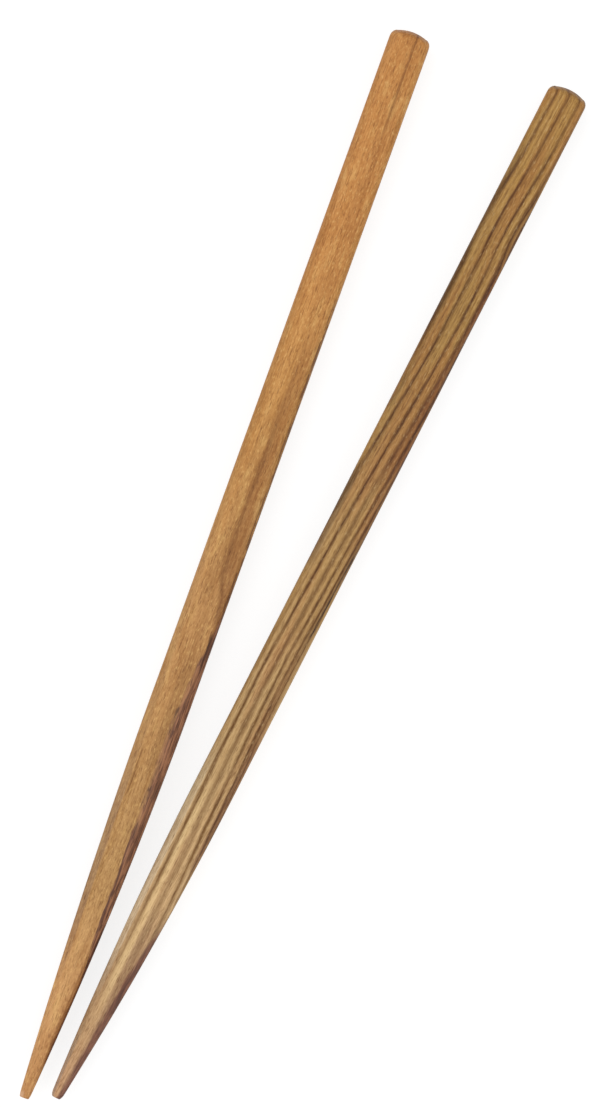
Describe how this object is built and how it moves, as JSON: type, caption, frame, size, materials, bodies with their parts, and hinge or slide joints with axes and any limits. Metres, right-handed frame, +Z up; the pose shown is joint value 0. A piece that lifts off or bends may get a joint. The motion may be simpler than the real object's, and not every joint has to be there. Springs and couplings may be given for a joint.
{
  "type": "pair of wooden chopsticks",
  "caption": "Pair of plain wooden chopsticks with square, soft-cornered handles, domed butts and hand-planed tapering tips, lying side by side in a narrow V.",
  "frame": {"origin": "centre of the pair's outline, on the surface that the sticks lie on", "axes": "+Y from the tips towards the handles along the line that halves the V, +Z up, +X from the light stick towards the dark-grained one"},
  "size_m": [0.0422, 0.2319, 0.0084],
  "materials": {
    "light_wood": "oiled, satin, honey-orange with fine straight grain",
    "dark_grained_wood": "oiled, satin, olive-tan with dark growth lines"
  },
  "bodies": {
    "root": {"left_chopstick": "light_wood", "right_chopstick": "dark_grained_wood"}
  },
  "joints": []
}
